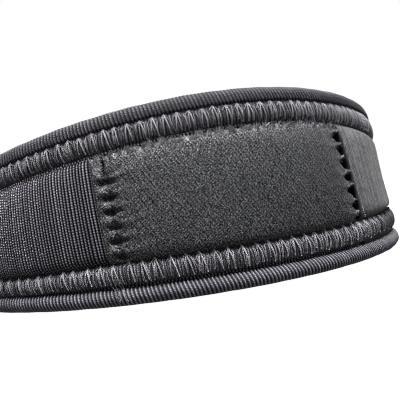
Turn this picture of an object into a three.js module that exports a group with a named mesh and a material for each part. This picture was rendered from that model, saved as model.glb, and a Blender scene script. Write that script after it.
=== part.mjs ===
// Padded knee band: a loop of soft wall with rolled edges, two flat seams, a sewn patch and a closing tab.
// Millimetres, +Z up. The loop stands on its lower edge round the Z axis, with the patch towards -Y.
import * as THREE from 'three';

// Driving dimensions of the loop
const LOOP_RADIUS = 66; // middle of the wall's thickness, at the floor
const LEAN = 0.115; // how far the wall leans in for each millimetre of height
const FRONT_HEIGHT = 48.2;
const BACK_HEIGHT = 30;
const CLOSURE_FLATTENING = 2; // the stiff closure flattens the loop by this much at the back
const FLATTENING_START = 110; // degrees from the front where the flattening begins
const SLIT_WIDTH = 3; // between the two ends of the band, at the back
const SEW_GAP = 0.3; // between pieces that are sewn or pressed together
const LOOP_STEPS = 60;

// Driving dimensions of the wall, as heights above the lower edge or drops below the upper edge
const BOTTOM_BINDING_HEIGHT = 4.2;
const TOP_BINDING_HEIGHT = 3.1;
const BOTTOM_SEAM_START = 5;
const TOP_SEAM_START = 3.4;
const SEAM_WIDTH = 5.3;
const PANEL_MARGIN = 0.5; // from a seam to the panel or the patch beside it
const WALL_INSIDE = -2.3; // offsets are measured outwards from the middle of the wall
const WALL_EDGE_INSIDE = -1.7; // where the wall thins towards its bindings
const WALL_EDGE_HEIGHT = 0.8;
const SEAM_BED = 1.15;
const PANEL_EDGE = 1.5;
const PANEL_CROWN = 0.5; // how far the padding swells past the panel's edge
const SEAM_EDGE = 0.35; // thickness of a seam at its edges
const SEAM_THICKNESS = 1.05; // thickness of a seam along its middle

// Driving dimensions of the front patch
const PATCH_WIDTH = 72; // along the loop
const PATCH_THICKNESS = 0.5;
const PATCH_CROWN = 0.5; // how far the patch swells between its seams
const PUCKER_PITCH = 3.2; // one stitch of its side seams
const PUCKER_DEPTH = 0.3;

// Driving dimensions of the closing tab
const TAB_WIDTH = 56; // along the loop
const TAB_BOTTOM = 5.4;
const TAB_DROP = 4;
const TAB_THICKNESS = 1.8;
const TAB_EDGE = 0.6; // how far its edges are rounded over
const TAB_CORNER = 6; // radius of its corners
const TAB_STEPS = 14;

// Sections of the rolled bindings: share of the height, offsets of the inside and the outside
const BOTTOM_BINDING_SECTION = [
  { rise: 0, inner: -1.2, outer: 1.2 },
  { rise: 0.12, inner: -1.9, outer: 1.9 },
  { rise: 0.36, inner: -2.3, outer: 2.25 },
  { rise: 0.66, inner: -2.3, outer: 2.2 },
  { rise: 0.9, inner: -1.9, outer: 1.6 },
  { rise: 1, inner: -1.4, outer: 1 },
];
const TOP_BINDING_SECTION = [
  { rise: 0, inner: -1.4, outer: 1 },
  { rise: 0.12, inner: -1.9, outer: 1.6 },
  { rise: 0.42, inner: -2.3, outer: 2.1 },
  { rise: 0.74, inner: -2, outer: 1.9 },
  { rise: 0.92, inner: -1.4, outer: 1.3 },
  { rise: 1, inner: -0.6, outer: 0.6 },
];

// Section of a flat seam: share of the width, share of the way from its edge's thickness to its middle's
const SEAM_SECTION = [
  { across: 0, swell: 0 },
  { across: 0.12, swell: 0.65 },
  { across: 0.5, swell: 1 },
  { across: 0.88, swell: 0.65 },
  { across: 1, swell: 0 },
];

// Shares of the way up the panel where its crown has a level
const PANEL_SHARES = [0, 0.2, 0.5, 0.8, 1];

// The front patch from its side edge to its middle: share of the crown there, share of the stitch puckers
const PATCH_COLUMNS = [
  { inset: 0, swell: 0.2, pucker: 0.2 },
  { inset: 1.1, swell: 0.4, pucker: 0.5 },
  { inset: 2, swell: 0, pucker: 1 },
  { inset: 3.4, swell: 0.45, pucker: 0.6 },
  { inset: 6, swell: 0.85, pucker: 0 },
  { inset: 12, swell: 1, pucker: 0 },
  { inset: 20, swell: 1, pucker: 0 },
  { inset: 28, swell: 1, pucker: 0 },
];

// The cloths
const KNIT = cloth('ribbed_knit', 0x2c2d30, 0.8);
const BINDING = cloth('binding_knit', 0x333438, 0.75);
const THREAD = cloth('seam_thread', 0x48494c, 0.65);
const SATIN = cloth('satin_twill', 0x2f3033, 0.6);
const LOOP_CLOTH = cloth('loop_cloth', 0x242528, 0.95);

// Cloth of one colour
function cloth(name, color, roughness) {
  return new THREE.MeshStandardMaterial({ name, color, roughness, metalness: 0 });
}

// Height of the upper edge: tallest at the front, level round the back
function topHeight(angle) {
  return BACK_HEIGHT + (FRONT_HEIGHT - BACK_HEIGHT) * Math.cos(angle / 2) ** 4;
}

// Radius of the middle of the wall at the floor, the same on both sides of the front
function planRadius(angle) {
  const start = THREE.MathUtils.degToRad(FLATTENING_START);
  const fromFront = Math.acos(Math.cos(angle));
  return LOOP_RADIUS - CLOSURE_FLATTENING * THREE.MathUtils.smoothstep(fromFront, start, Math.PI);
}

// Point on the wall: angle from the front, height above the floor, offset outwards
function wallPoint(angle, height, offset) {
  const radius = planRadius(angle) - LEAN * height + offset;
  return [radius * Math.sin(angle), -radius * Math.cos(angle), height];
}

// Angles at even steps from one end of a piece to the other
function evenAngles(first, last, steps) {
  return Array.from({ length: steps + 1 }, (_, step) => THREE.MathUtils.lerp(first, last, step / steps));
}

// Angles along the open loop, from one side of the slit to the other
function loopAngles() {
  const end = Math.PI - SLIT_WIDTH / 2 / planRadius(Math.PI);
  return evenAngles(-end, end, LOOP_STEPS);
}

// Closed wall through one section at each angle; a section lists its levels from the lowest to the highest
function wallMesh(name, material, angles, sectionAt) {
  const sections = angles.map(sectionAt);
  const levels = sections[0].length;
  const around = 2 * levels;
  const positions = [];
  angles.forEach((angle, station) => {
    const section = sections[station];
    const outside = section.map((level) => wallPoint(angle, level.height, level.outer));
    const inside = section.map((level) => wallPoint(angle, level.height, level.inner));
    positions.push(...outside.flat(), ...inside.reverse().flat());
  });

  const triangles = [];
  const addQuad = (a, b, c, d) => triangles.push(a, b, c, a, c, d);
  for (let station = 0; station + 1 < angles.length; station += 1) {
    const here = station * around;
    const next = here + around;
    for (let k = 0; k < around; k += 1) {
      const above = (k + 1) % around;
      addQuad(here + k, next + k, next + above, here + above);
    }
  }
  const last = (angles.length - 1) * around;
  for (let level = 0; level + 1 < levels; level += 1) {
    const behind = around - 1 - level;
    addQuad(level, level + 1, behind - 1, behind);
    addQuad(last + level, last + behind, last + behind - 1, last + level + 1);
  }

  const geometry = new THREE.BufferGeometry();
  geometry.setAttribute('position', new THREE.Float32BufferAttribute(positions, 3));
  geometry.setIndex(triangles);
  geometry.computeVertexNormals();
  const mesh = new THREE.Mesh(geometry, material);
  mesh.name = name;
  return mesh;
}

// Lower and upper limit of the panel between the two seams
function panelLimits(angle) {
  return {
    low: BOTTOM_SEAM_START + SEAM_WIDTH + PANEL_MARGIN,
    high: topHeight(angle) - TOP_SEAM_START - SEAM_WIDTH - PANEL_MARGIN,
  };
}

// Offset of the panel's surface at a share of the way up the panel
function panelOffset(share) {
  return PANEL_EDGE + PANEL_CROWN * Math.sin(Math.PI * share);
}

// Padded wall: beds for the seams at both edges and a crowned panel between them
function bodySection(angle) {
  const panel = panelLimits(angle);
  const low = BOTTOM_BINDING_HEIGHT + SEW_GAP;
  const high = topHeight(angle) - TOP_BINDING_HEIGHT - SEW_GAP;
  const panelLevels = PANEL_SHARES.map((share) => ({
    height: THREE.MathUtils.lerp(panel.low, panel.high, share),
    inner: WALL_INSIDE,
    outer: panelOffset(share),
  }));
  return [
    { height: low, inner: WALL_EDGE_INSIDE, outer: SEAM_BED },
    { height: low + WALL_EDGE_HEIGHT, inner: WALL_INSIDE, outer: SEAM_BED },
    { height: panel.low - SEW_GAP, inner: WALL_INSIDE, outer: SEAM_BED },
    ...panelLevels,
    { height: panel.high + SEW_GAP, inner: WALL_INSIDE, outer: SEAM_BED },
    { height: high - WALL_EDGE_HEIGHT, inner: WALL_INSIDE, outer: SEAM_BED },
    { height: high, inner: WALL_EDGE_INSIDE, outer: SEAM_BED },
  ];
}

// Rolled binding between two heights
function bindingSection(table, low, height) {
  return table.map((row) => ({ height: low + row.rise * height, inner: row.inner, outer: row.outer }));
}

// Flat seam that starts at the given height and lies on its bed
function seamSection(low) {
  const inner = SEAM_BED + SEW_GAP;
  return SEAM_SECTION.map((row) => ({
    height: low + row.across * SEAM_WIDTH,
    inner,
    outer: inner + THREE.MathUtils.lerp(SEAM_EDGE, SEAM_THICKNESS, row.swell),
  }));
}

// Front patch: crowned between the seams, drawn in along its two side seams with a pucker at each stitch
function frontPatch() {
  const halfWidth = PATCH_WIDTH / 2;
  const leftSide = PATCH_COLUMNS.map((column) => ({ ...column, along: column.inset - halfWidth }));
  const middle = { along: 0, swell: 1, pucker: 0 };
  const rightSide = leftSide.map((column) => ({ ...column, along: -column.along })).reverse();
  const columns = [...leftSide, middle, ...rightSide];
  const angles = columns.map((column) => column.along / LOOP_RADIUS);

  const edge = panelLimits(angles[0]);
  const stitches = Math.floor((edge.high - edge.low) / PUCKER_PITCH);
  const levels = 2 * stitches;
  return wallMesh('front_patch', SATIN, angles, (angle) => {
    const column = columns[angles.indexOf(angle)];
    const panel = panelLimits(angle);
    return Array.from({ length: levels + 1 }, (_, level) => {
      const share = level / levels;
      const inner = panelOffset(share) + SEW_GAP;
      const crown = PATCH_CROWN * column.swell * Math.sin(Math.PI * share);
      const pucker = level % 2 === 1 ? PUCKER_DEPTH * column.pucker : 0;
      const height = THREE.MathUtils.lerp(panel.low, panel.high, share);
      return { height, inner, outer: inner + PATCH_THICKNESS + crown - pucker };
    });
  });
}

// Closing tab: a flat strip with round corners that lies over both ends of the band
function closureTab() {
  const halfAngle = TAB_WIDTH / 2 / planRadius(Math.PI);
  const inner = SEAM_BED + SEW_GAP + SEAM_THICKNESS + SEW_GAP;
  const edges = [
    { across: 0, inset: 0, rounding: 1 },
    { across: 0, inset: TAB_EDGE, rounding: 0 },
    { across: 0.5, inset: 0, rounding: 0 },
    { across: 1, inset: -TAB_EDGE, rounding: 0 },
    { across: 1, inset: 0, rounding: 1 },
  ];
  const stations = evenAngles(0, Math.PI, TAB_STEPS).map((turn) => Math.PI - halfAngle * Math.cos(turn));
  return wallMesh('closure_tab', LOOP_CLOTH, stations, (angle) => {
    const toEnd = (halfAngle - Math.abs(angle - Math.PI)) * planRadius(Math.PI);
    const intoCorner = Math.max(0, TAB_CORNER - toEnd);
    const cut = TAB_CORNER - Math.sqrt(TAB_CORNER ** 2 - intoCorner ** 2);
    const low = TAB_BOTTOM + cut;
    const high = BACK_HEIGHT - TAB_DROP - cut;
    return edges.map((row) => ({
      height: THREE.MathUtils.lerp(low, high, row.across) + row.inset,
      inner,
      outer: inner + TAB_THICKNESS - TAB_EDGE * row.rounding,
    }));
  });
}

const kneeBand = new THREE.Group();
const angles = loopAngles();
const bottomBinding = () => bindingSection(BOTTOM_BINDING_SECTION, 0, BOTTOM_BINDING_HEIGHT);
const topBinding = (angle) =>
  bindingSection(TOP_BINDING_SECTION, topHeight(angle) - TOP_BINDING_HEIGHT, TOP_BINDING_HEIGHT);
const bottomSeam = () => seamSection(BOTTOM_SEAM_START);
const topSeam = (angle) => seamSection(topHeight(angle) - TOP_SEAM_START - SEAM_WIDTH);

kneeBand.add(
  wallMesh('band_body', KNIT, angles, bodySection),
  wallMesh('bottom_binding', BINDING, angles, bottomBinding),
  wallMesh('top_binding', BINDING, angles, topBinding),
  wallMesh('bottom_seam', THREAD, angles, bottomSeam),
  wallMesh('top_seam', THREAD, angles, topSeam),
  frontPatch(),
  closureTab(),
);

export default kneeBand;
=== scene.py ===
"""The looks of a padded knee band: ribbed knit, rolled edges, flat seams of thread and a satin patch."""
import math

import bpy
import numpy as np
from mathutils import Matrix, Vector


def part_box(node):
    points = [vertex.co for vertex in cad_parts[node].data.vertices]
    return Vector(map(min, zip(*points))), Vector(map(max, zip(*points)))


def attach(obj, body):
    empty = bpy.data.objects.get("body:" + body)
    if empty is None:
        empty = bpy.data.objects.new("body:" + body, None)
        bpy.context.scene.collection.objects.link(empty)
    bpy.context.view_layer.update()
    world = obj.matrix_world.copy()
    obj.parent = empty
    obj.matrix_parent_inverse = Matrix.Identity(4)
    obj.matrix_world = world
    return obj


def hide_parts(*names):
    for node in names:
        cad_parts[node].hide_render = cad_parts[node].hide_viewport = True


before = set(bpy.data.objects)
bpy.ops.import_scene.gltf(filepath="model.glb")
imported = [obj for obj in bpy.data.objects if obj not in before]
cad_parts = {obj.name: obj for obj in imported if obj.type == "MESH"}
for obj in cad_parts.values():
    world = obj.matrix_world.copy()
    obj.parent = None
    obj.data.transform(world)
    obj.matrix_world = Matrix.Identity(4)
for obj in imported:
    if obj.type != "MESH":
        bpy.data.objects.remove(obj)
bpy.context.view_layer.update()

scene = bpy.context.scene
random = np.random.default_rng(7)

# The loop, in millimetres: angles run from the front, and "along" is the arc length from the front
MM = 0.001
LOOP_RADIUS = 66.0
LEAN = 0.115
FRONT_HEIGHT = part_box("top_binding")[1].z / MM
BACK_HEIGHT = 30.0
CLOSURE_FLATTENING = 2.0
FLATTENING_START = math.radians(110)
SLIT_WIDTH = 3.0

# Heights of the edges and seams
BOTTOM_BINDING_HEIGHT = 4.2
TOP_BINDING_HEIGHT = 3.1
BOTTOM_SEAM_START = 5.0
TOP_SEAM_START = 3.7
SEAM_WIDTH = 5.3
LEFT_SEAM_DROP = 0.9
LEFT_SEAM_LOSS = 1.2
PANEL_MARGIN = 0.5
PANEL_HEIGHT = 28.0
BAND_TUCKS = (1.6, 1.2)
PATCH_MARGIN = 0.6
PATCH_TUCK = 0.1
PATCH_SCALLOP = 0.3

# Form of the wall: offsets out from its middle, and how steep the panel's edges are
WALL_INSIDE = -2.3
SEAM_BED = 0.2
PANEL_EDGES = (0.4, 1.0)
PANEL_LEVEL = 2.2
PANEL_SWELL = 0.15
LEFT_SWELL = 0.65
RIGHT_HOLLOW = 0.55
INSIDE_BULGE = 0.25
TOP_ROLL = 0.12
UPPER_SHOULDER_POWER = 10.0
LOWER_SHOULDER_POWER = 18.0
SEAM_CREST = 2.0
BOTTOM_SEAM_EDGES = (1.4, 0.9)
TOP_SEAM_EDGES = (0.9, 1.5)

# Ribs of the knit, the lean of its threads, and the rows of the wall
PANEL_RIB = 0.875
PANEL_RIB_DEPTH = 0.3
BOTTOM_RIB = 0.96
TOP_RIB = 1.0
RIB_SAMPLES = np.array([0.0, 0.17, 0.38, 0.62, 0.83])
RIB_STRAY = 0.09
RIB_STRAY_KNOTS = 5
END_ROUNDING = 1.4
OUTSIDE_RINGS = 27
INSIDE_RINGS = 7
CLOTH_SLANT = 0.10
SLANT_PIVOT = 18.0
SLANT_FADE = 70.0

# Rolled edges
BINDING_RIB_DEPTH = 0.2
BINDING_SIDES = 24
BOTTOM_EDGE_MIDDLE = 2.05
BOTTOM_EDGE_HALVES = (2.15, 2.25)
TOP_EDGE_DROP = 1.95
TOP_EDGE_HALVES = (1.9, 1.85)
JOIN_PLACE = -34.6
JOIN_RUN = 2.4
JOIN_THREADS = 4
ROLL_SLANT = 0.3

# Front patch
PATCH_WIDTH = 72.0
PATCH_HALF = PATCH_WIDTH / 2
PATCH_THICKNESS = 0.4
PATCH_LIFT = 0.3
PATCH_SWELLS = (0.5, 1.1)
PATCH_SINK = 3.0
PATCH_EDGE_ROOM = 0.5
PATCH_DEEPEST = 2.5
PATCH_STITCH = 3.6
PATCH_STITCH_START = 12.4
PATCH_STITCHES = {-1: 6, 1: 7}
FLAP_FIBRES = 40
PATCH_STITCH_INSETS = {-1: 3.0, 1: 2.1}
PATCH_EDGE_SINKS = {-1: 0.5, 1: 2.1}
LUMPS = {-1: 0.4, 1: 0.7}
LUMP_HEIGHTS = {-1: 0.8, 1: 0.75}
PUCKER_SIZES = {-1: (0.95, 0.85), 1: (1.6, 0.9)}
PUCKER_DEPTHS = {-1: 2.1, 1: 1.1}
STITCH_FIBRES = 6
PATCH_GAP = 0.7
PATCH_RIGHT = PATCH_HALF - PATCH_GAP
NOTCH_DEPTHS = {-1: 2.4, 1: 0.9}
NOTCH_SHARES = (0.76, 0.84)
CRUMPLE = 0.22
CRUMPLE_REACH = 3.0
PATCH_SWAY = 0.07
SEAM_PULL_REACH = 1.1
CREASE_END = 36.3
BRIDGE_START = 32.0
BRIDGE_RISE = 0.7
BRIDGE_HEIGHT = 0.62
BRIDGE_REACH = 0.9
TIP_FIBRES = 14
PATCH_CELL = 0.25
PATCH_ROWS = 112
FRAYED_HIGHLIGHT_DEPTH = 1.3
TUFT_PITCH = 1.1
TUFT_FIBRES = 9
FRINGE_ROOT = 0.9

# Threads of the seams, and shares along a thread and along a short fibre
TOP_STITCH = 3.2
BOTTOM_STITCH = 3.45
FINE_STRANDS = 5
STRAND_SHADES = 9
STRAND_RUN = np.linspace(0.0, 1.0, 9)
FIBRE_RUN = np.linspace(0.0, 1.0, 5)
LEFT_DIMMING = 0.35
RIGHT_SHADE_RUN = (30.0, 58.0)

# Closing tab at the back
TAB_WIDTH = 56.0
TAB_BOTTOM = 5.4
TAB_TOP = BACK_HEIGHT - 4.0
TAB_INSIDE = 2.75
TAB_THICKNESS = 1.8
TAB_CORNER = 6.0
TAB_SOFT_EDGE = 1.1
TAB_COLUMNS = 120
TAB_ROWS = 48
TAB_STITCH = 2.8
TAB_STITCH_INSET = 2.3
TAB_GROOVE = 0.35
TAB_PILE_LOOPS = 3600

# Stretches along the loop: where each begins, is full, starts to fade and ends; the last runs to the left
LEFT_SWELL_ZONE = (-130.0, -80.0, -48.0, -18.0)
RIGHT_HOLLOW_ZONE = (42.0, 60.0, 95.0, 130.0)
MATTED_SHEEN_PANEL_ZONE = (30.0, 42.0, 70.0, 100.0)
MATTED_SHEEN_EDGE_ZONE = (40.0, 62.0, 90.0, 120.0)
LEFT_CREASE_SHADE_ZONE = (-37.1, -36.6, -34.0, -33.0)
RIGHT_CREASE_SHADE_ZONE = (33.0, 34.0, CREASE_END - 0.25, CREASE_END)
LEFT_SEAM_ZONE = (20.0, 75.0, 110.0, 150.0)

# Matted knit on the right side: flatter ribs, and painted sheen, an even and lighter colour in place of the
# bright sheen of its fuzz
MATTED_RIB_LOSS = 0.85
MATTED_SHEEN_TONE = 0.28
MATTED_SHEEN_LIGHT = 1.25


# Places on the wall

def smoothstep(value, low, high):
    share = np.clip((value - low) / (high - low), 0.0, 1.0)
    return share * share * (3.0 - 2.0 * share)


def between(ends, share):
    return ends[0] + (ends[1] - ends[0]) * share


def bell(value, width):
    return np.exp(-(value / width) ** 2)


def zone(along, limits):
    """Share from 0 to 1 along the loop: up between the first two limits, down between the last two."""
    start, full, fade, end = limits
    return smoothstep(along, start, full) * (1.0 - smoothstep(along, fade, end))


def by_side(along, values):
    """One of two values, for the left or for the right of the front."""
    return np.where(along < 0.0, values[-1], values[1])


def joined(*arrays):
    """Arrays side by side, along a new last axis."""
    return np.stack(np.broadcast_arrays(*arrays), axis=-1)


def plan_radius(angle):
    from_front = np.arccos(np.cos(angle))
    return LOOP_RADIUS - CLOSURE_FLATTENING * smoothstep(from_front, FLATTENING_START, math.pi)


def top_height(angle):
    return BACK_HEIGHT + (FRONT_HEIGHT - BACK_HEIGHT) * np.cos(angle / 2) ** 4


def on_wall(angle, height, offset):
    """Points in millimetres at an angle, a height and an offset out from the middle of the wall."""
    radius = plan_radius(angle) - LEAN * height + offset
    return joined(radius * np.sin(angle), -radius * np.cos(angle), height)


def outward(angle):
    """Unit vectors out of the wall."""
    return joined(np.sin(angle), -np.cos(angle), LEAN) / math.hypot(1.0, LEAN)


ANGLE_TABLE = np.linspace(-1.2 * math.pi, 1.2 * math.pi, 8001)
ARC_STEPS = plan_radius(ANGLE_TABLE[:-1]) * np.diff(ANGLE_TABLE)
ARC_TABLE = np.concatenate([[0.0], np.cumsum(ARC_STEPS)])
ARC_TABLE -= np.interp(0.0, ANGLE_TABLE, ARC_TABLE)
HALF_GIRTH = np.interp(math.pi, ANGLE_TABLE, ARC_TABLE)
HALF_LOOP = HALF_GIRTH - SLIT_WIDTH / 2


def angle_at(along):
    return np.interp(along, ARC_TABLE, ANGLE_TABLE)


def cloth_angle(along, height):
    """The angle of a thread that leans to the left as it rises, but stands upright near the slit."""
    fade = smoothstep(HALF_LOOP - np.abs(along), 0.0, SLANT_FADE)
    return angle_at(along - CLOTH_SLANT * (height - SLANT_PIVOT) * fade)


def cloth_top(along):
    """Height of the top edge, reached along the leaning threads."""
    return top_height(cloth_angle(along, top_height(angle_at(along))))


def end_rounding(along):
    """Share of the thickness that is left near the ends of the open loop."""
    inset = np.clip((HALF_LOOP - np.abs(along)) / END_ROUNDING, 0.0, 1.0)
    return 0.35 + 0.65 * np.sqrt(1.0 - (1.0 - inset) ** 2)


def at_stitches(along, stitch):
    """1 at each stitch of a seam and 0 halfway between them."""
    return 0.5 + 0.5 * np.cos(math.tau * along / stitch)


def waves(values, lengths, seed):
    """An irregular signal from about -1 to 1: sine waves with phases drawn from a seed."""
    draw = np.random.default_rng(seed)
    phases = draw.uniform(0.0, math.tau, len(lengths))
    total = sum(np.sin(math.tau * values / length + phase) for length, phase in zip(lengths, phases))
    return total / len(lengths)


# Meshes from arrays

def add_object(name, data):
    """Puts a mesh, a lamp or a lens in the scene."""
    thing = bpy.data.objects.new(name, data)
    scene.collection.objects.link(thing)
    return thing


def add_piece(name, points, faces, corner_uvs, material):
    """A smooth mesh from points in millimetres; corner_uvs has one row for each corner of each face."""
    mesh = bpy.data.meshes.new(name)
    mesh.from_pydata((points * MM).tolist(), [], faces)
    layer = mesh.uv_layers.new(name="cloth")
    layer.data.foreach_set("uv", np.asarray(corner_uvs, np.float32).ravel())
    mesh.polygons.foreach_set("use_smooth", np.ones(len(mesh.polygons), bool))
    mesh.materials.append(material)
    mesh.update()
    piece = add_object(name, mesh)
    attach(piece, "root")
    return piece


def add_shares(piece, name, values):
    """Stores a number at each point of a piece, for its material."""
    layer = piece.data.attributes.new(name, "FLOAT", "POINT")
    layer.data.foreach_set("value", np.asarray(values, np.float32).ravel())


def grid_faces(rows, columns):
    """Corners of a tube's quads as row and column numbers; its last column meets its first."""
    row, column = np.meshgrid(np.arange(rows - 1), np.arange(columns), indexing="ij")
    row_corners = np.stack([row, row + 1, row + 1, row], -1).reshape(-1, 4)
    column_corners = np.stack([column, column, column + 1, column + 1], -1).reshape(-1, 4)
    return row_corners, column_corners


def add_loop(name, angles, heights, offsets, uvs, material):
    """A closed tube along the wall: a ring of heights and offsets for each step along, outer side upward."""
    rows, columns = heights.shape
    points = on_wall(angles, heights, offsets).reshape(-1, 3)
    row, column = grid_faces(rows, columns)
    faces = (row * columns + column % columns).tolist()
    corner_uvs = uvs[row, column % columns].reshape(-1, 2)
    first = np.arange(columns)
    last = (rows - 1) * columns + first[::-1]
    faces += [first.tolist(), last.tolist()]
    flat_uvs = uvs.reshape(-1, 2)
    corner_uvs = np.concatenate([corner_uvs, flat_uvs[first], flat_uvs[last]])
    return add_piece(name, points, faces, corner_uvs, material)


def wrapped(front, back):
    """Values up the front of a sheet and down its back."""
    return np.concatenate([front, back[:, ::-1]], axis=1)


def unit(vectors):
    return vectors / np.linalg.norm(vectors, axis=-1, keepdims=True)


def add_strands(name, angle, height, offset, radii, shades, material, sides=6):
    """Threads with closed ends, one for each row of places, joined in one mesh; a shade of 1 is bright."""
    centres = on_wall(angle, height, offset)
    count, steps, _ = centres.shape
    tangents = unit(np.gradient(centres, axis=1))
    across = unit(np.cross(tangents, outward(angle)))
    upward = np.cross(across, tangents)
    turn = np.arange(sides) * math.tau / sides - math.pi / 2
    ring = across[:, :, None] * np.cos(turn)[:, None] + upward[:, :, None] * np.sin(turn)[:, None]
    points = centres[:, :, None] + ring * np.broadcast_to(radii, (count, steps))[:, :, None, None]
    row, column = grid_faces(steps, sides)
    strand = np.arange(count)[:, None, None]
    faces = ((strand * steps + row) * sides + column % sides).reshape(-1, 4)[:, ::-1].tolist()
    lengths = np.linalg.norm(np.diff(centres, axis=1), axis=-1)
    run = np.concatenate([np.zeros((count, 1)), np.cumsum(lengths, axis=1)], axis=1)
    run += random.uniform(0.0, 50.0, (count, 1))
    levels = np.round(np.asarray(shades) * STRAND_SHADES)
    around = 0.01 + 0.98 * column / sides
    corner_uvs = np.stack([run[:, row], levels[:, None, None] + around], -1)
    corner_uvs = corner_uvs[:, :, ::-1].reshape(-1, 2)
    first = strand[:, 0] * steps * sides + np.arange(sides)
    last = first + (steps - 1) * sides
    faces += first.tolist() + last[:, ::-1].tolist()
    caps = np.repeat(np.stack([run[:, [0, -1]].T.ravel(), np.tile(levels, 2) + 0.5], -1), sides, axis=0)
    corner_uvs = np.concatenate([corner_uvs, caps])
    return add_piece(name, points.reshape(-1, 3), faces, corner_uvs, material)


# Materials

class Look:
    """A material with a principled shader, and short calls for the nodes that feed it."""

    def __init__(self, name, roughness, specular, sheen, sheen_roughness):
        self.material = bpy.data.materials.new(name)
        self.material.use_nodes = True
        self.tree = self.material.node_tree
        self.shader = self.tree.nodes["Principled BSDF"]
        self.put("Roughness", roughness)
        self.put("Specular IOR Level", specular)
        self.put("Sheen Weight", sheen)
        self.put("Sheen Roughness", sheen_roughness)

    def feed(self, socket, value):
        if isinstance(value, bpy.types.NodeSocket):
            self.tree.links.new(value, socket)
        else:
            socket.default_value = value

    def put(self, name, value):
        """Feeds one of the shader's inputs."""
        self.feed(self.shader.inputs[name], value)

    def node(self, kind):
        return self.tree.nodes.new("ShaderNode" + kind)

    def math(self, operation, *values):
        node = self.node("Math")
        node.operation = operation
        for socket, value in zip(node.inputs, values):
            self.feed(socket, value)
        return node.outputs[0]

    def times(self, first, *others):
        for other in others:
            first = self.math("MULTIPLY", first, other)
        return first

    def cloth(self):
        """The two cloth coordinates of a piece."""
        node = self.node("UVMap")
        node.uv_map = "cloth"
        split = self.node("SeparateXYZ")
        self.feed(split.inputs[0], node.outputs[0])
        return split.outputs[0], split.outputs[1]

    def noise(self, grains_per_mm, detail):
        place = self.node("TexCoord")
        node = self.node("TexNoise")
        node.inputs["Scale"].default_value = grains_per_mm / MM
        node.inputs["Detail"].default_value = detail
        self.feed(node.inputs["Vector"], place.outputs["Object"])
        return node.outputs[0]

    def share(self, name):
        """A number that a piece holds at each of its points, or 0 where it holds none."""
        node = self.node("Attribute")
        node.attribute_name = name
        return node.outputs["Fac"]

    def scatter(self, value):
        """A random number from 0 to 1 for each whole value."""
        node = self.node("TexWhiteNoise")
        node.noise_dimensions = "1D"
        self.feed(node.inputs["W"], self.math("FLOOR", value))
        return node.outputs["Value"]

    def ridge(self, value):
        """A rounded ridge from 0 to 1 and back for each whole step of a value."""
        return self.math("SINE", self.times(self.math("FRACT", value), math.pi))

    def range(self, value, low, high):
        """Maps 0 to 1 onto low to high."""
        return self.math("MULTIPLY_ADD", value, high - low, low)

    def blend(self, amount, low, high):
        """A colour between two others, each a colour or the output of a node."""
        node = self.node("Mix")
        node.data_type = "RGBA"
        node.clamp_factor = False
        self.feed(node.inputs["Factor"], amount)
        for socket, colour in ((node.inputs[6], low), (node.inputs[7], high)):
            self.feed(socket, (*colour, 1.0) if isinstance(colour, tuple) else colour)
        return node.outputs[2]

    def paint(self, amount, low, high):
        self.put("Base Color", self.blend(amount, low, high))

    def glow(self, strength):
        self.put("Emission Color", (1.0, 1.0, 1.0, 1.0))
        self.put("Emission Strength", strength)

    def relief(self, height, depth_mm):
        node = self.node("Bump")
        node.inputs["Distance"].default_value = depth_mm * MM
        self.feed(node.inputs["Height"], height)
        self.put("Normal", node.outputs[0])


def grey(level, green, blue):
    """A grey with a cast: how much green and blue there is beside the red."""
    return (level, level * green, level * blue)


def knit_look(name, dark, light, sharpness, split, bead, bead_share, gloss, sheen):
    """Ribbed knit, matted where it hangs loose: cloth coordinates count ribs, and millimetres along a rib.
    Its colour holds painted shade in the grooves and creases, and painted sheen where it is matted.
    """
    look = Look(name, 0.55, gloss, sheen, 0.08)
    rib, run = look.cloth()
    column = look.ridge(look.times(rib, 2.0))
    # Painted shade: the colour runs from light on each rib's crest to dark in its groove, standing in for the
    # shade in the grooves beside the shallow relief.
    crest = look.math("POWER", look.ridge(rib), sharpness)
    crest = look.times(crest, look.range(column, 1.0, 1.0 - split))
    stagger = look.scatter(rib)
    loops = look.math("POWER", look.ridge(look.math("ADD", look.math("DIVIDE", run, bead), stagger)), 2.0)
    beads = look.times(crest, look.range(loops, 1.0 - bead_share, 1.0))
    slack_and_sheen = look.share("slack_and_sheen")
    # Painted sheen: where the knit is matted, its beads give way to one even tone.
    beads = look.math("MULTIPLY_ADD", slack_and_sheen, look.math("SUBTRACT", MATTED_SHEEN_TONE, beads), beads)
    uneven = look.range(look.scatter(look.math("ADD", rib, 500.0)), 0.75, 1.2)
    wear = look.times(look.range(look.noise(0.12, 4.0), 0.75, 1.2), uneven)
    fuzz = look.range(look.noise(3.0, 2.0), 0.5, 1.5)
    matted = look.math("MULTIPLY_ADD", slack_and_sheen, look.range(look.noise(1.2, 3.0), -1.2, 1.2), 1.0)
    # Painted shade: the crease share darkens the knit's colour in the valleys beside the patch, where shadow
    # falls.
    painted_crease_shade = look.math("SUBTRACT", 1.0, look.share("crease"))
    fuzz = look.times(fuzz, matted, painted_crease_shade)
    tone = look.times(beads, look.times(wear, fuzz))
    # Painted sheen: the matted knit's colour is lighter.
    cloth_with_painted_sheen = look.blend(slack_and_sheen, grey(light, 0.95, 1.12), grey(MATTED_SHEEN_LIGHT * light, 0.98, 1.01))
    look.paint(tone, grey(dark, 0.94, 1.12), cloth_with_painted_sheen)
    look.put("Roughness", look.range(loops, 0.75, 0.55))
    look.relief(beads, 0.12)
    return look.material


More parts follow.
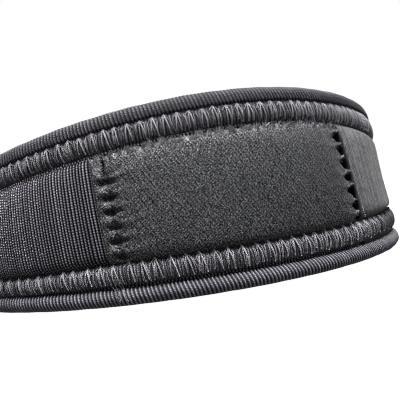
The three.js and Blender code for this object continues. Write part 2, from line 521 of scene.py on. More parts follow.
def thread_look(name, dark, light):
    """Spun thread: cloth coordinates are millimetres along it, and its shade plus the share round it."""
    look = Look(name, 0.6, 0.06, 0.0, 0.4)
    run, around = look.cloth()
    twist = look.ridge(look.math("ADD", look.math("DIVIDE", run, 0.42), around))
    shade = look.math("DIVIDE", look.math("FLOOR", around), float(STRAND_SHADES))
    fuzz = look.range(look.noise(3.0, 3.0), 0.4, 1.6)
    tone = look.times(look.range(twist, 0.4, 1.0), shade, fuzz)
    look.paint(tone, grey(dark, 0.96, 1.08), grey(light, 0.96, 1.06))
    look.relief(twist, 0.06)
    return look.material


def twill_look(name, dark, light):
    """Satin twill: steep slanting lines crossed by flatter ones; the cloth coordinates are millimetres. Its
    colour holds painted shade towards the right and a painted highlight near the upper edge.
    """
    look = Look(name, 0.5, 0.1, 0.05, 0.3)
    across, up = look.cloth()
    stray = look.range(look.noise(1.3, 1.0), -0.45, 0.45)
    falling = look.math("ADD", look.times(across, 0.96), look.times(up, 0.53))
    rising = look.math("SUBTRACT", look.times(across, 1.08), look.times(up, 1.54))
    lines = look.range(look.ridge(look.math("ADD", falling, stray)), 0.42, 1.2)
    crossing = look.range(look.ridge(look.math("SUBTRACT", rising, stray)), 0.38, 1.28)
    weave = look.times(lines, crossing)
    grain = look.math("POWER", look.times(look.noise(3.4, 1.0), 2.0), 4.5)
    grain = look.math("MINIMUM", grain, 4.5)
    # Painted shade: the satin's colour grows darker towards the right of the patch.
    painted_shade_to_right = look.math("MULTIPLY_ADD", across, -0.004, 1.0)
    # Partly painted highlight: the satin's colour grows lighter near its fraying upper edge, where its
    # shoulder turns up to the lamp.
    brushed_and_highlight = look.math("MULTIPLY_ADD", look.share("frayed_and_highlight"), 0.85, painted_shade_to_right)
    tone = look.times(weave, grain, brushed_and_highlight)
    look.paint(tone, grey(dark, 1.0, 1.1), grey(light, 1.0, 1.08))
    shine = look.math("MINIMUM", look.times(tone, 0.16), 0.2)
    look.put("Specular IOR Level", shine)
    look.put("Roughness", look.range(weave, 0.55, 0.45))
    look.relief(weave, 0.02)
    return look.material


def loop_look(name, dark, light):
    """Brushed loop cloth: a short tangled pile."""
    look = Look(name, 0.8, 0.1, 0.1, 0.5)
    tangle = look.noise(2.2, 6.0)
    tufts = look.noise(0.7, 3.0)
    pile = look.times(tangle, look.range(tufts, 0.6, 1.3))
    look.paint(look.math("POWER", pile, 1.5), grey(dark, 0.97, 1.06), grey(light, 0.97, 1.06))
    look.relief(pile, 0.25)
    return look.material


PANEL_KNIT = knit_look("ribbed_knit", dark=0.0005, light=0.25, sharpness=3.2, split=0.3,
                       bead=0.66, bead_share=0.8, gloss=0.04, sheen=1.0)
BOTTOM_KNIT = knit_look("bottom_binding_knit", dark=0.006, light=0.21, sharpness=3.0, split=0.3,
                        bead=0.45, bead_share=0.5, gloss=0.08, sheen=0.05)
# Painted shade: the top edge is rolled from the same knit as the bottom edge, but gets a darker, flatter
# colour.
SHADED_TOP_KNIT = knit_look("top_binding_knit", dark=0.008, light=0.095, sharpness=2.5, split=0.4,
                     bead=0.45, bead_share=0.7, gloss=0.08, sheen=0.05)
SEAM_THREAD = thread_look("seam_thread", dark=0.003, light=0.27)
# Painted shade: the knit under the seams' threads gets a far darker colour than the same knit in the panel,
# so that the gaps between the threads look shaded.
SHADED_SEAM_CLOTH = knit_look("shaded_seam_cloth", dark=0.01, light=0.08, sharpness=2.0, split=0.0,
                       bead=0.3, bead_share=0.6, gloss=0.1, sheen=0.03)
PATCH_TWILL = twill_look("satin_twill", dark=0.002, light=0.0285)
TAB_CLOTH = loop_look("loop_cloth", dark=0.008, light=0.09)
PILE_THREAD = thread_look("pile_thread", dark=0.006, light=0.2)
FRAYED_THREAD = thread_look("frayed_thread", dark=0.02, light=0.36)


# Ribbed wall and edges

def rib_columns(pitch):
    """Places along the loop, five for each rib, their numbers, and their rise from groove to crest."""
    count = round(2.0 * HALF_LOOP / pitch)
    numbers = (np.arange(count)[:, None] + RIB_SAMPLES).ravel()
    numbers = np.append(numbers, count)
    crest = np.sin(math.pi * (numbers % 1.0)) ** 1.8
    return -HALF_LOOP + numbers * 2.0 * HALF_LOOP / count, numbers, crest


def rib_wander(ribs, heights):
    """How far each rib strays sideways at each height, still at the two ends of the loop."""
    draw = np.random.default_rng(51)
    last = int(ribs[-1])
    strays = draw.normal(0.0, RIB_STRAY, (last + 2, RIB_STRAY_KNOTS))
    strays[[0, -2, -1]] = 0.0
    number = np.minimum(ribs.astype(int), last)
    share = (ribs - number)[:, None]
    stray = strays[number] * (1.0 - share) + strays[number + 1] * share
    knot = np.clip(heights / FRONT_HEIGHT, 0.0, 0.999) * (RIB_STRAY_KNOTS - 1)
    step = knot.astype(int)
    row = np.arange(len(ribs))[:, None]
    return stray[row, step] * (1.0 - knot + step) + stray[row, step + 1] * (knot - step)


def crown(share, power):
    """A dome across a strip, from 0 at its edges to 1 in the middle; a higher power has steeper edges."""
    return 1.0 - np.abs(2.0 * share - 1.0) ** power


def shoulder(share):
    """A rise along both edges of a stuffed strip, tighter along the lower one, and level between them."""
    return crown(share, np.where(share < 0.5, LOWER_SHOULDER_POWER, UPPER_SHOULDER_POWER))


def panel_offset(along, share):
    """How far the wall stands out between the seams, from its lower edge at 0 to its upper edge at 1."""
    swell = PANEL_SWELL + LEFT_SWELL * zone(along, LEFT_SWELL_ZONE)
    swell = swell - RIGHT_HOLLOW * zone(along, RIGHT_HOLLOW_ZONE)
    edge = between(PANEL_EDGES, share)
    form = edge + (PANEL_LEVEL - edge) * shoulder(share) + swell * crown(share, 2.0)
    return form + TOP_ROLL * bell((1.0 - share) * PANEL_HEIGHT - 1.2, 0.8)


def add_band():
    along, ribs, crest = rib_columns(PANEL_RIB)
    top = cloth_top(along)
    low = np.full_like(along, BOTTOM_BINDING_HEIGHT - BAND_TUCKS[0])
    high = top - TOP_BINDING_HEIGHT + BAND_TUCKS[1]
    panel_low = bottom_seam_height(angle_at(along), 1.0) + PANEL_MARGIN
    panel_high = top - TOP_SEAM_START - SEAM_WIDTH - PANEL_MARGIN
    # Matted knit: flatter ribs here, and painted sheen in the material's colour.
    slack_and_sheen = zone(along, MATTED_SHEEN_PANEL_ZONE)
    groove = -PANEL_RIB_DEPTH * (1.0 - MATTED_RIB_LOSS * slack_and_sheen) * (1.0 - crest)
    bed = np.full_like(along, SEAM_BED)
    rings = [(low, bed), (panel_low, bed)]
    under_patch = smoothstep(PATCH_HALF - np.abs(along), -0.2, 0.4)
    for share in 0.5 - 0.5 * np.cos(np.linspace(0.02, 1.0, OUTSIDE_RINGS) * math.pi * 0.98):
        height = panel_low + (panel_high - panel_low) * share
        sink = PATCH_EDGE_ROOM + (PATCH_SINK - PATCH_EDGE_ROOM) * shoulder(share)
        rings.append((height, panel_offset(along, share) - under_patch * sink + groove))
    rings += [(panel_high, bed), (high, bed)]
    for share in np.linspace(1.0, 0.0, INSIDE_RINGS):
        bulge = -INSIDE_BULGE * crown(share, 4.0)
        rings.append((low + (high - low) * share, WALL_INSIDE + 0.4 + bulge - 0.5 * groove))
    heights = np.stack([ring[0] for ring in rings], axis=1)
    offsets = np.stack([ring[1] for ring in rings], axis=1) * end_rounding(along)[:, None]
    outside = np.arange(heights.shape[1]) < heights.shape[1] - INSIDE_RINGS
    uvs = joined(ribs[:, None], heights * (1.0 + slack_and_sheen[:, None] * outside))
    angles = cloth_angle(along[:, None] + rib_wander(ribs, heights), heights)
    piece = add_loop("band_cover", angles, heights, offsets, uvs, PANEL_KNIT)
    # Painted shade: how much the knit's colour is darkened in the valley along the patch's right edge, less
    # along its left, and less where the patch's lumps reach over the valley.
    crease = zone(along, RIGHT_CREASE_SHADE_ZONE) + 0.7 * zone(along, LEFT_CREASE_SHADE_ZONE)
    crease_shade_opening = 1.0 - 0.8 * bridge(heights) * (along[:, None] > 0.0)
    add_shares(piece, "slack_and_sheen", 0.95 * slack_and_sheen[:, None] * outside)
    add_shares(piece, "crease", 0.9 * crease[:, None] * crease_shade_opening * outside)
    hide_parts("band_body")


def add_binding(name, node, middle, half_height, half_width, powers, lean, pitch, seed, material):
    """A rolled edge, ribbed in front and smoother underneath; middle gives the height of its centre."""
    along, ribs, crest = rib_columns(pitch)
    along = along + 0.10 * waves(along, (23.0, 9.0, 5.0), seed) * end_rounding(along)
    along = np.clip(along, -HALF_LOOP, HALF_LOOP)
    turn = np.arange(BINDING_SIDES) * math.tau / BINDING_SIDES
    ribbed = 0.25 + 0.75 * smoothstep(np.cos(turn - 0.35), -0.2, 0.7)
    # Matted knit: flatter ribs here, and painted sheen in the material's colour.
    slack_and_sheen = zone(along, MATTED_SHEEN_EDGE_ZONE)
    groove = BINDING_RIB_DEPTH * ribbed * (1.0 - crest[:, None]) * (1.0 - 0.6 * slack_and_sheen[:, None])
    swell = 1.0 + 0.03 * waves(along, (17.0, 7.0), seed + 1)[:, None]
    reach = end_rounding(along)[:, None] * swell
    power = np.where(np.sin(turn) < 0.0, powers[0], powers[1])
    rise = (half_height * reach - groove) * np.sign(np.sin(turn)) * np.abs(np.sin(turn)) ** (2.0 / power)
    heights = np.maximum(middle(angle_at(along))[:, None] + rise, 0.0)
    out = (half_width * reach - groove) * np.sign(np.cos(turn)) * np.abs(np.cos(turn)) ** (2.0 / power)
    offsets = out - lean * rise * (1.0 + np.cos(turn)) / 2
    slant = ROLL_SLANT * rise * smoothstep(HALF_LOOP - np.abs(along), 0.0, 10.0)[:, None]
    uvs = joined(ribs[:, None], turn * 0.5 * (half_height + half_width))
    piece = add_loop(name, angle_at(along[:, None] - slant), heights, offsets, uvs, material)
    add_shares(piece, "slack_and_sheen", np.broadcast_to(0.6 * slack_and_sheen[:, None], heights.shape))
    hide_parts(node)


def add_binding_join():
    """Threads that cross the bottom edge where the two ends of its cloth are joined."""
    share = STRAND_RUN
    each = (JOIN_THREADS, 1)
    starts = JOIN_PLACE + np.linspace(-1.2, 1.0, JOIN_THREADS)[:, None] + random.normal(0.0, 0.1, each)
    height = random.uniform(6.0, 7.6, each) * (1.0 - share) + random.uniform(0.4, 1.6, each) * share
    along = starts + (JOIN_RUN + random.normal(0.0, 0.35, each)) * share
    half_height, half_width = BOTTOM_EDGE_HALVES
    rise = (height - BOTTOM_EDGE_MIDDLE) / half_height
    roll = half_width * np.sqrt(np.clip(1.0 - rise ** 2, 0.0, 1.0))
    ridge = seam_offset(np.clip((height - BOTTOM_SEAM_START) / SEAM_WIDTH, 0.0, 1.0), BOTTOM_SEAM_EDGES)
    offset = np.maximum(roll, ridge * smoothstep(height, 3.6, 4.6)) + 0.12
    shades = random.uniform(0.2, 0.55, JOIN_THREADS)
    piece = add_strands("binding_join_threads", angle_at(along), height, offset, 0.1, shades, SEAM_THREAD)


# Flat seams

def seam_offset(share, edges):
    """How far a seam's ridge stands out, from its lower edge at 0 to its upper edge at 1."""
    edge = between(edges, share)
    return edge + (SEAM_CREST - edge) * np.clip(crown(share, 2.3), 0.0, 1.0)


def left_run(along):
    """Share of the left part of the loop, where the bottom seam is narrower and lower."""
    return zone(-along, LEFT_SEAM_ZONE)


def bottom_seam_height(angle, share):
    """Height on the bottom seam, from its lower edge at 0 to its upper edge at 1."""
    left = left_run(np.interp(angle, ANGLE_TABLE, ARC_TABLE))
    return BOTTOM_SEAM_START - LEFT_SEAM_DROP * left + (SEAM_WIDTH - LEFT_SEAM_LOSS * left) * share


def top_seam_height(angle, share):
    """Height on the top seam, from its lower edge at 0 to its upper edge at 1."""
    return top_height(angle) - TOP_SEAM_START - SEAM_WIDTH * (1.0 - share)


def add_seam_ridge(name, node, base, stitch, edges):
    """The folded cloth under a seam's threads, pinched a little at each stitch."""
    along = np.linspace(-HALF_LOOP, HALF_LOOP, int(2.0 * HALF_LOOP / 0.4))
    shares = np.linspace(0.0, 1.0, 11)
    pinch = 1.0 - 0.06 * at_stitches(along, stitch)[:, None]
    front = seam_offset(shares, edges) * pinch - 0.12
    offsets = np.concatenate([front, np.full((len(along), 4), SEAM_BED + 0.02)], axis=1)
    ring_shares = np.concatenate([shares, np.linspace(1.0, 0.0, 4)])
    heights = base(angle_at(along)[:, None], ring_shares)
    offsets *= end_rounding(along)[:, None]
    uvs = joined(along[:, None] / PANEL_RIB, ring_shares * SEAM_WIDTH)
    # Painted shade: the ridge uses the darker copy of the knit.
    piece = add_loop(name, angle_at(along)[:, None], heights, offsets, uvs, SHADED_SEAM_CLOTH)
    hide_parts(node)


def add_seam_threads(name, base, stitch, edges, peaks, feet, painted_lightness, right_painted_shade):
    """Overlock threads: each stitch has a loop at the upper edge and strands that slant down from it."""
    count = int(2.0 * (HALF_LOOP - 2.0) / stitch)
    starts = (np.arange(count) - (count - 1) / 2) * stitch + random.normal(0.0, 0.2, count)
    down = STRAND_RUN
    strands = []

    def strand(top, foot, lift, bow, shade, radius):
        strands.append((*top, *foot, lift, bow, shade, radius))

    for start in starts:
        peak = (start, random.uniform(*peaks))
        left_end = (start - stitch * random.uniform(0.3, 0.45), random.uniform(0.62, 0.78))
        right_end = (start + stitch * random.uniform(0.4, 0.5), random.uniform(0.62, 0.78))
        strand(peak, left_end, lift=0.05, bow=-0.1, shade=random.uniform(0.4, 0.7), radius=0.15)
        strand(peak, right_end, lift=0.05, bow=0.1, shade=random.uniform(0.3, 0.6), radius=0.15)
        long_foot = (start + random.uniform(0.7, 1.5), random.uniform(*feet))
        strand(peak, long_foot, lift=0.2, bow=0.12, shade=random.uniform(0.7, 1.0), radius=0.2)
        short_foot = (start - random.uniform(0.0, 0.5), random.uniform(*feet) + 0.1)
        short_top = (start - 0.1, 0.92)
        strand(short_top, short_foot, lift=0.16, bow=-0.1, shade=random.uniform(0.5, 0.9), radius=0.18)
        for number in range(1, FINE_STRANDS + 1):
            place = start + stitch * (number + random.normal(0.0, 0.2)) / (FINE_STRANDS + 1)
            foot = (place + random.normal(0.45, 0.55), random.uniform(*feet))
            top = (place, random.uniform(0.78, 0.93))
            lift = random.uniform(0.0, 0.12)
            bow = random.normal(0.0, 0.12)
            strand(top, foot, lift, bow, shade=random.uniform(0.15, 0.8), radius=0.135)
    columns = np.array(strands).T[:, :, None]
    top_along, top_share, foot_along, foot_share, lift, bow, shades, radius = columns
    along = top_along + (foot_along - top_along) * down + bow * np.sin(math.pi * down)
    along = np.clip(along, -HALF_LOOP + 0.3, HALF_LOOP - 0.3)
    shares = top_share + (foot_share - top_share) * down
    dip = 0.25 * np.clip(1.0 - down / 0.12, 0.0, 1.0) ** 2 + 0.25 * down ** 6
    # Painted light: each row's threads get their own lightness, the bottom row's lighter than the top row's.
    shades = shades * painted_lightness * (1.0 - LEFT_DIMMING * left_run(top_along))
    # Painted shade: a row's threads darken towards the right.
    shades = shades * (1.0 - right_painted_shade * smoothstep(top_along, *RIGHT_SHADE_RUN))
    angle = angle_at(along)
    offsets = seam_offset(np.clip(shares, 0.0, 1.0), edges) + lift - dip
    heights = base(angle, shares)
    offsets = np.where(shares > 1.0, np.maximum(offsets, cover_offset(along, heights) + 0.08), offsets)
    radii = radius * random.uniform(0.85, 1.15, (len(along), 1)) * (1.05 - 0.25 * down)
    piece = add_strands(name, angle, heights, offsets, radii, shades[:, 0], SEAM_THREAD, sides=5)


# Front patch

def plan_puckers():
    """Where each side stitch pulls the patch in: its side, place, height, dents, lump and wrinkles."""
    draw = np.random.default_rng(21)
    puckers = []
    for side in (-1, 1):
        line = side * (PATCH_HALF - PATCH_STITCH_INSETS[side])
        for number in range(PATCH_STITCHES[side]):
            height = PATCH_STITCH_START + number * PATCH_STITCH + draw.normal(0.0, 0.2)
            wide, tall = PUCKER_SIZES[side]
            deep = PUCKER_DEPTHS[side] * draw.uniform(0.85, 1.25)
            dents = [(draw.uniform(0.1, 0.6), -0.85, wide * draw.uniform(0.8, 1.2), tall, deep)]
            dents.append((draw.uniform(-1.1, -0.5), draw.uniform(-1.3, -0.7), 0.45, 0.5, 0.55 * deep))
            dents.append((draw.uniform(1.2, 2.2), draw.uniform(-1.2, -0.2), 0.8, 0.45, 0.4 * deep))
            lump = LUMPS[side] * draw.uniform(0.6, 1.3)
            slopes = np.radians(draw.uniform((2.0, 14.0, -26.0), (14.0, 34.0, -8.0)))
            lengths = draw.uniform((2.2, 1.6, 1.2), (4.2, 3.2, 2.4))
            puckers.append((side, line, height, dents, lump, slopes, lengths))
    return puckers


PUCKERS = plan_puckers()


def bridge(height):
    """Share by which the patch reaches over the crease at its right, between the stitches."""
    reach = 0.0
    for side, _, middle, _, lump, _, _ in PUCKERS:
        if side > 0:
            reach = reach + lump / LUMPS[side] * bell(height - middle - BRIDGE_RISE, BRIDGE_HEIGHT)
    return np.clip(reach, 0.0, 1.0)


def pucker_relief(along, height):
    """The dents, lumps and wrinkles round the side stitches."""
    relief = 0.0
    for side, line, middle, dents, lump, slopes, lengths in PUCKERS:
        inward = side * (line - along)
        rise = height - middle
        for place, level, wide, tall, deep in dents:
            relief = relief - deep * np.exp(-((inward - place) / wide) ** 2 - ((rise - level) / tall) ** 2)
        bulge = np.exp(-((inward + 1.2) / 1.1) ** 2 - ((rise - 0.35) / LUMP_HEIGHTS[side]) ** 2)
        relief = relief + lump * bulge
        for slope, length, sign in zip(slopes, lengths, (1.0, -1.0, -0.7)):
            run = inward * math.cos(slope) + rise * math.sin(slope)
            offside = rise * math.cos(slope) - inward * math.sin(slope)
            fold = bell(offside, 0.65) * smoothstep(run, 0.2, 1.4)
            relief = relief + 0.5 * sign * fold * np.exp(-np.maximum(run, 0.0) / length)
    return relief


def patch_offset(along, share, height):
    """How far the patch stands out, with the pull of its side stitches and of the two seams."""
    inset = PATCH_HALF - np.abs(along)
    stitch_inset = by_side(along, PATCH_STITCH_INSETS)
    edge_sink = by_side(along, PATCH_EDGE_SINKS)
    edge_sink = edge_sink * (1.0 - 0.6 * bridge(height) * (along > 0.0))
    from_line = inset - stitch_inset
    wall = panel_offset(along, share)
    firm = shoulder(share)
    swell = between(PATCH_SWELLS, smoothstep(along, -15.0, 20.0))
    form = PATCH_LIFT + swell * smoothstep(from_line, 0.0, 7.0) * crown(share, 2.0)
    form = form - edge_sink * firm * (1.0 - smoothstep(from_line, -1.0, 1.4))
    notch = by_side(along, NOTCH_DEPTHS) * smoothstep(share, *NOTCH_SHARES)
    crease = bell(from_line, 0.5) * (0.35 + notch)
    crumple = CRUMPLE * waves(along + 0.5 * height, (1.9, 1.3), 31)
    crumple = crumple * waves(height - 0.3 * along, (1.7, 1.1), 32)
    form = form + firm * (pucker_relief(along, height) - crease)
    form = form + firm * crumple * bell(from_line, CRUMPLE_REACH)
    for pull, depth, stitch in ((0.3, 1.0 - share, TOP_STITCH), (0.15, share, BOTTOM_STITCH)):
        form -= pull * np.exp(-depth * PANEL_HEIGHT / SEAM_PULL_REACH) * at_stitches(along, stitch)
    sway = PATCH_SWAY * waves(along + 0.6 * height, (21.0, 13.0, 8.0), 5)
    form += sway * waves(height - 0.3 * along, (17.0, 11.0), 6)
    return wall + np.maximum(form, -PATCH_DEEPEST * firm)


def patch_edges(along):
    """Heights of the patch's lower edge, and of its upper edge, which the seam's threads scallop."""
    low = bottom_seam_height(angle_at(along), 1.0) - PATCH_TUCK
    high = cloth_top(along) - TOP_SEAM_START - SEAM_WIDTH - PATCH_MARGIN
    turn = math.tau * along / TOP_STITCH + waves(along, (13.0, 7.0), 8)
    return low, high - PATCH_SCALLOP * (0.5 + 0.5 * np.cos(turn))


def cover_offset(along, height):
    """How far the patch, or the panel beside it, stands out just above the bottom seam."""
    low, high = patch_edges(along)
    share = np.clip((height - low) / (high - low), 0.0, 1.0)
    on_patch = patch_offset(along, share, height)
    return np.where(np.abs(along) < PATCH_HALF, on_patch, panel_offset(along, share))


def add_patch():
    columns = int(PATCH_WIDTH / PATCH_CELL) + 1
    along = np.linspace(-PATCH_HALF, PATCH_RIGHT, columns)
    low, high = patch_edges(along)
    even = np.linspace(0.0, 1.0, PATCH_ROWS)
    shares = 0.4 * (0.5 - 0.5 * np.cos(even * math.pi)) + 0.6 * even
    height = low[:, None] + (high - low)[:, None] * shares
    near_edge = smoothstep(along[:, None], BRIDGE_START, PATCH_RIGHT)
    place = along[:, None] + BRIDGE_REACH * bridge(height) * near_edge
    front = patch_offset(place, shares, height)
    heights = wrapped(height, height)
    offsets = wrapped(front, front - PATCH_THICKNESS)
    places = wrapped(place, place)
    uvs = joined(places, heights)
    angles = cloth_angle(places, heights)
    piece = add_loop("patch_cloth", angles, heights, offsets, uvs, PATCH_TWILL)
    # Partly painted highlight: a share that lightens the satin's colour towards its fraying upper edge.
    add_shares(piece, "frayed_and_highlight", np.exp(-(high[:, None] - heights) / FRAYED_HIGHLIGHT_DEPTH))
    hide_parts("front_patch")


def add_patch_stitches():
    """Frayed stitches and fibres down the patch's sides, and a thin thread along its right crease."""
    share = FIBRE_RUN
    fibres = []

    def fibre(place, height, offset):
        fibres.append((cloth_angle(place, height), height, offset))

    for side, line, middle, _, _, _, _ in PUCKERS:
        low, high = patch_edges(line)
        for _ in range(STITCH_FIBRES):
            length = random.uniform(0.5, 1.3)
            height = middle + random.normal(0.35, 0.3) + (share - 0.5) * length
            place = line + random.normal(0.0, 0.25) + random.normal(0.2, 0.7) * (share - 0.5)
            arch = 0.14 - 0.3 * np.abs(2 * share - 1) ** 3
            fibre(place, height, patch_offset(place, (height - low) / (high - low), height) + arch)
        for _ in range(TIP_FIBRES * (side > 0)):
            start = CREASE_END - random.uniform(1.4, 2.6)
            place = start + random.uniform(0.7, 1.7) * share
            height = middle + random.normal(0.5, 0.4) + random.normal(0.0, 0.4) * share
            root = patch_offset(start, (height[0] - low) / (high - low), height[0])
            fibre(place, height, root + random.uniform(-0.1, 0.3) - random.uniform(0.0, 0.5) * share)
    for _ in range(FLAP_FIBRES):
        start = -PATCH_HALF + random.uniform(0.1, 2.0)
        low, high = patch_edges(start)
        place = start + random.uniform(0.4, 1.2) * share
        height = high - random.uniform(0.3, 3.6) - random.uniform(0.5, 1.6) * share
        root = patch_offset(start, (height[0] - low) / (high - low), height[0])
        fibre(place, height, root + 0.05 + random.uniform(0.0, 0.25) * np.sin(math.pi * share))
    heights = np.arange(PATCH_STITCH_START - 1.0, PATCH_STITCH_START + PATCH_STITCHES[1] * PATCH_STITCH, 0.75)
    for height in heights:
        run = height + 0.6 * share
        fibre(CREASE_END + 0.15 * share, run, PANEL_LEVEL + 0.2 + 0.1 * np.sin(math.pi * share))
    angle, height, offset = np.stack(fibres, axis=1)
    shades = random.uniform(0.2, 0.7, len(fibres))
    piece = add_strands("patch_stitches", angle, height, offset, 0.08, shades, FRAYED_THREAD)


def add_patch_fringe():
    """Frayed tufts along the patch's upper edge, which reach up under the seam."""
    rise = FIBRE_RUN
    tufts = np.arange(-PATCH_HALF + 0.6, PATCH_HALF, TUFT_PITCH)
    tufts = tufts + random.normal(0.0, 0.3, len(tufts))
    sizes = np.repeat(random.uniform(0.5, 1.0, len(tufts)), TUFT_FIBRES)[:, None]
    leans = np.repeat(random.normal(0.0, 0.5, len(tufts)), TUFT_FIBRES)[:, None]
    spread = random.normal(0.0, 0.3, (len(sizes), 1))
    root = np.repeat(tufts, TUFT_FIBRES)[:, None] + spread
    root = np.clip(root, -PATCH_HALF, PATCH_HALF)
    length = sizes * random.uniform(1.1, 2.3, (len(sizes), 1))
    high = patch_edges(root)[1]
    height = high - FRINGE_ROOT + length * rise
    along = np.clip(root + (leans + 0.6 * spread) * rise ** 1.5, -PATCH_HALF, PATCH_HALF)
    lift = 0.05 + random.uniform(0.15, 0.75, (len(sizes), 1)) * rise
    offset = patch_offset(root, 1.0 - FRINGE_ROOT / PANEL_HEIGHT, high - FRINGE_ROOT) + lift
    angle = cloth_angle(along, height)
    radii = random.uniform(0.07, 0.11, (len(sizes), 1)) * (1.0 - 0.5 * rise)
    shades = random.uniform(0.4, 0.8, len(sizes))
    piece = add_strands("patch_fringe", angle, height, offset, radii, shades, FRAYED_THREAD, sides=4)


# Closing tab

def tab_edge(along, height):
    """How far a place on the tab lies inside its rounded outline."""
    middle = (TAB_BOTTOM + TAB_TOP) / 2
    over = np.abs(along) - TAB_WIDTH / 2 + TAB_CORNER
    above = np.abs(height - middle) - (TAB_TOP - TAB_BOTTOM) / 2 + TAB_CORNER
    outside = np.hypot(np.maximum(over, 0.0), np.maximum(above, 0.0))
    return TAB_CORNER - outside - np.minimum(np.maximum(over, above), 0.0)


def tab_offset(along, height):
    """How far the tab's face stands out: soft edges, and a groove where it is stitched."""
    edge = tab_edge(along, height)
    soft = np.sqrt(1.0 - (1.0 - np.clip(edge / TAB_SOFT_EDGE, 0.0, 1.0)) ** 2)
    groove = TAB_GROOVE * bell(edge - TAB_STITCH_INSET, 0.55)
    swell = 0.12 * waves(along + 0.4 * height, (15.0, 9.0, 6.0), 41)
    swell = swell * waves(height - 0.2 * along, (11.0, 7.0), 42)
    return TAB_INSIDE + TAB_THICKNESS * (0.35 + 0.65 * soft) + (swell - groove) * soft


def tab_angle(along):
    return angle_at(HALF_GIRTH + along)


def tab_line(inset, step):
    """A function from a stitch's number to its along and height, inside the tab's outline, and the count."""
    radius = TAB_CORNER - inset
    half = np.array([TAB_WIDTH / 2 - TAB_CORNER, (TAB_TOP - TAB_BOTTOM) / 2 - TAB_CORNER])
    middle = np.array([0.0, (TAB_BOTTOM + TAB_TOP) / 2])
    route = []
    for number, (right, upper) in enumerate([(1, 1), (-1, 1), (-1, -1), (1, -1)]):
        turn = (number + np.linspace(0.0, 1.0, 13)) * math.pi / 2
        corner = middle + half * (right, upper)
        route.append(corner + radius * np.stack([np.cos(turn), np.sin(turn)], axis=-1))
    route = np.concatenate([*route, route[0][:1]])
    run = np.concatenate([[0.0], np.cumsum(np.linalg.norm(np.diff(route, axis=0), axis=1))])
    count = round(run[-1] / step)
    return lambda share: [np.interp(share * run[-1] / count, run, route[:, axis]) for axis in (0, 1)], count


def add_tab():
    """A plain tab of loop cloth across the slit, with rounded corners and soft edges."""
    along = TAB_WIDTH / 2 * np.sin(np.linspace(-0.5, 0.5, TAB_COLUMNS) * math.pi)
    inset = TAB_WIDTH / 2 - np.abs(along)
    corner = TAB_CORNER - np.sqrt(np.maximum(TAB_CORNER ** 2 - np.maximum(TAB_CORNER - inset, 0.0) ** 2, 0.0))
    shares = 0.5 - 0.5 * np.cos(np.linspace(0.0, 1.0, TAB_ROWS) * math.pi)
    low = (TAB_BOTTOM + corner)[:, None]
    high = (TAB_TOP - corner)[:, None]
    height = low + (high - low) * shares
    front = tab_offset(along[:, None], height)
    heights = wrapped(height, height)
    offsets = wrapped(front, np.full_like(front, TAB_INSIDE))
    uvs = joined(along[:, None], heights)
    piece = add_loop("tab_cloth", tab_angle(along)[:, None], heights, offsets, uvs, TAB_CLOTH)
    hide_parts("closure_tab")


def add_tab_stitches():
    """A line of stitches round the tab."""
    place, count = tab_line(TAB_STITCH_INSET, TAB_STITCH)
    share = STRAND_RUN
    along, height = place(np.arange(count)[:, None] + 0.8 * share)
    arch = 0.22 - 0.5 * np.abs(2.0 * share - 1.0) ** 4
    offset = tab_offset(along, height) + arch
    shades = random.uniform(0.4, 0.7, count)
    piece = add_strands("tab_stitches", tab_angle(along), height, offset, 0.2, shades, SEAM_THREAD)


def add_tab_pile():
    """The short loops of pile that cover the tab."""
    along = random.uniform(-TAB_WIDTH / 2, TAB_WIDTH / 2, TAB_PILE_LOOPS)
    height = random.uniform(TAB_BOTTOM, TAB_TOP, TAB_PILE_LOOPS)
    inside = tab_edge(along, height) > 0.9
    along, height = along[inside][:, None], height[inside][:, None]
    turn = random.uniform(0.0, math.tau, along.shape)
    size = random.uniform(0.3, 0.75, along.shape)
    share = FIBRE_RUN
    along = along + size * np.cos(turn) * (share - 0.5)
    height = height + size * np.sin(turn) * (share - 0.5)
    arch = size * 0.5 * np.sin(math.pi * share) - 0.05
    offset = tab_offset(along, height) + arch
    shades = random.uniform(0.2, 1.0, len(along))
    piece = add_strands("tab_pile", tab_angle(along), height, offset, 0.055, shades, PILE_THREAD, sides=4)


# Floor, light and camera

FLOOR_GLOW = 0.97
STAGE_RADIUS = 8.0
KEY_PLACE = (0.05, -0.16, 0.87)
KEY_AIM = (0.0, 0.0, 0.02)
KEY_SIZE = 0.6
KEY_WATTS = 55.0
ROOM_LEVELS = ((-0.2, 0.4), (0.2, 0.5))


def add_stage_piece(name, points, faces, look):
    """A floor or backdrop that the camera sees, but that throws no light on the object."""
    mesh = bpy.data.meshes.new(name)
    mesh.from_pydata(points, [], faces)
    mesh.materials.append(look.material)
    piece = add_object(name, mesh)
    piece.visible_diffuse = False
    piece.visible_glossy = False
    return piece


def add_stage():
    half = STAGE_RADIUS
    depth = -0.0002
    floor_look = Look("pale_floor", 0.9, 0.1, 0.0, 0.5)
    floor_look.paint(floor_look.noise(0.004, 2.0), (0.03, 0.03, 0.03), (0.035, 0.035, 0.035))
    floor_look.glow(FLOOR_GLOW)
    corners = [(-half, -half, depth), (half, -half, depth), (half, half, depth), (-half, half, depth)]
    add_stage_piece("floor", corners, [(0, 1, 2, 3)], floor_look)
    wall_look = Look("white_backdrop", 0.9, 0.0, 0.0, 0.5)
    wall_look.put("Base Color", (0.0, 0.0, 0.0, 1.0))
    wall_look.glow(1.0)
    turn = np.linspace(0.0, math.tau, 49)[:-1]
    rise = np.linspace(-0.02, 0.5 * math.pi, 9)[:, None]
    ring = joined(np.cos(rise) * np.cos(turn), np.cos(rise) * np.sin(turn), np.sin(rise))
    row, column = grid_faces(len(rise), len(turn))
    faces = (row * len(turn) + column % len(turn)).tolist()
    backdrop = add_stage_piece("backdrop", (STAGE_RADIUS * ring.reshape(-1, 3)).tolist(), faces, wall_look)
    backdrop.visible_shadow = False


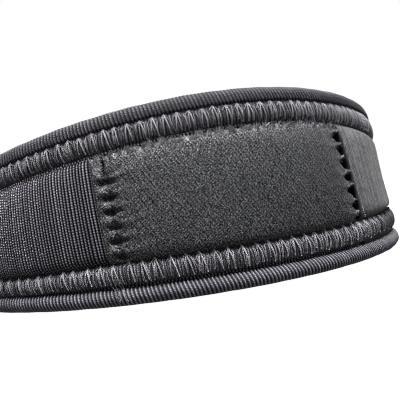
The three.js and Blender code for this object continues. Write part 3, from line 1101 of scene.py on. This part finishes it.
def add_light():
    lamp = bpy.data.lights.new("key", "AREA")
    lamp.size = KEY_SIZE
    lamp.energy = KEY_WATTS
    light = add_object("key", lamp)
    light.location = KEY_PLACE
    light.rotation_euler = (Vector(KEY_AIM) - Vector(KEY_PLACE)).to_track_quat("-Z", "Y").to_euler()


def add_world():
    """An even grey room that fills the shadows, a little lighter above than below."""
    world = bpy.data.worlds.new("white_room")
    world.use_nodes = True
    tree = world.node_tree
    place = tree.nodes.new("ShaderNodeTexCoord")
    split = tree.nodes.new("ShaderNodeSeparateXYZ")
    tree.links.new(place.outputs["Generated"], split.inputs[0])
    share = tree.nodes.new("ShaderNodeMath")
    share.operation = "MULTIPLY_ADD"
    share.inputs[1].default_value = 0.5
    share.inputs[2].default_value = 0.5
    tree.links.new(split.outputs["Z"], share.inputs[0])
    ramp = tree.nodes.new("ShaderNodeValToRGB")
    tree.links.new(share.outputs[0], ramp.inputs["Fac"])
    for element, (rise, level) in zip(ramp.color_ramp.elements, ROOM_LEVELS):
        element.position = 0.5 + 0.5 * rise
        element.color = (level, level, level, 1.0)
    tree.links.new(ramp.outputs["Color"], tree.nodes["Background"].inputs["Color"])
    scene.world = world


# Camera, fitted to the photograph's outline: place round the loop, turn, and focal length in picture widths
CAMERA_DISTANCE = 260.0
CAMERA_HEIGHT = 30.56
CAMERA_YAW = math.radians(-16.242)
CAMERA_PAN = math.radians(-1.998)
CAMERA_TILT = math.radians(-2.373)
CAMERA_ROLL = math.radians(7.814)
FOCAL_WIDTHS = 824.07 / 400
SENSOR = 36.0


def add_camera():
    heading = CAMERA_YAW + CAMERA_PAN
    level = math.cos(CAMERA_TILT)
    forward = Vector((-math.sin(heading) * level, math.cos(heading) * level, math.sin(CAMERA_TILT)))
    right = Vector((math.cos(heading), math.sin(heading), 0.0))
    up = right.cross(forward)
    camera_right = right * math.cos(CAMERA_ROLL) - up * math.sin(CAMERA_ROLL)
    camera_up = right * math.sin(CAMERA_ROLL) + up * math.cos(CAMERA_ROLL)
    lens = bpy.data.cameras.new("camera")
    lens.sensor_width = SENSOR
    lens.lens = FOCAL_WIDTHS * SENSOR
    lens.clip_start = 0.01
    camera = add_object("camera", lens)
    turn = Matrix((camera_right, camera_up, -forward)).transposed()
    place = Vector((math.sin(CAMERA_YAW), -math.cos(CAMERA_YAW), 0.0)) * CAMERA_DISTANCE
    place.z = CAMERA_HEIGHT
    camera.matrix_world = Matrix.Translation(place * MM) @ turn.to_4x4()
    scene.camera = camera


add_camera()
add_band()
add_binding("bottom_edge", "bottom_binding", lambda angle: BOTTOM_EDGE_MIDDLE + 0.0 * angle,
            *BOTTOM_EDGE_HALVES, powers=(2.0, 2.0), lean=0.0, pitch=BOTTOM_RIB, seed=11, material=BOTTOM_KNIT)
add_binding("top_edge", "top_binding", lambda angle: top_height(angle) - TOP_EDGE_DROP, *TOP_EDGE_HALVES,
            powers=(4.0, 2.3), lean=0.15, pitch=TOP_RIB, seed=12, material=SHADED_TOP_KNIT)
add_seam_ridge("bottom_seam_ridge", "bottom_seam", bottom_seam_height, BOTTOM_STITCH, BOTTOM_SEAM_EDGES)
add_seam_ridge("top_seam_ridge", "top_seam", top_seam_height, TOP_STITCH, TOP_SEAM_EDGES)
# Painted light: the bottom row's threads are lighter than the top row's, though the thread is the same.
add_seam_threads("bottom_seam_threads", bottom_seam_height, BOTTOM_STITCH, BOTTOM_SEAM_EDGES,
                 peaks=(0.98, 1.07), feet=(0.03, 0.2), painted_lightness=1.3, right_painted_shade=0.8)
add_seam_threads("top_seam_threads", top_seam_height, TOP_STITCH, TOP_SEAM_EDGES,
                 peaks=(0.93, 1.0), feet=(0.0, 0.15), painted_lightness=1.0, right_painted_shade=0.0)
add_patch()
add_patch_stitches()
add_patch_fringe()
add_tab()
add_tab_stitches()
add_tab_pile()
add_binding_join()
add_stage()
add_world()
add_light()
scene.view_settings.view_transform = "Standard"
scene.cycles.filter_width = 1.1
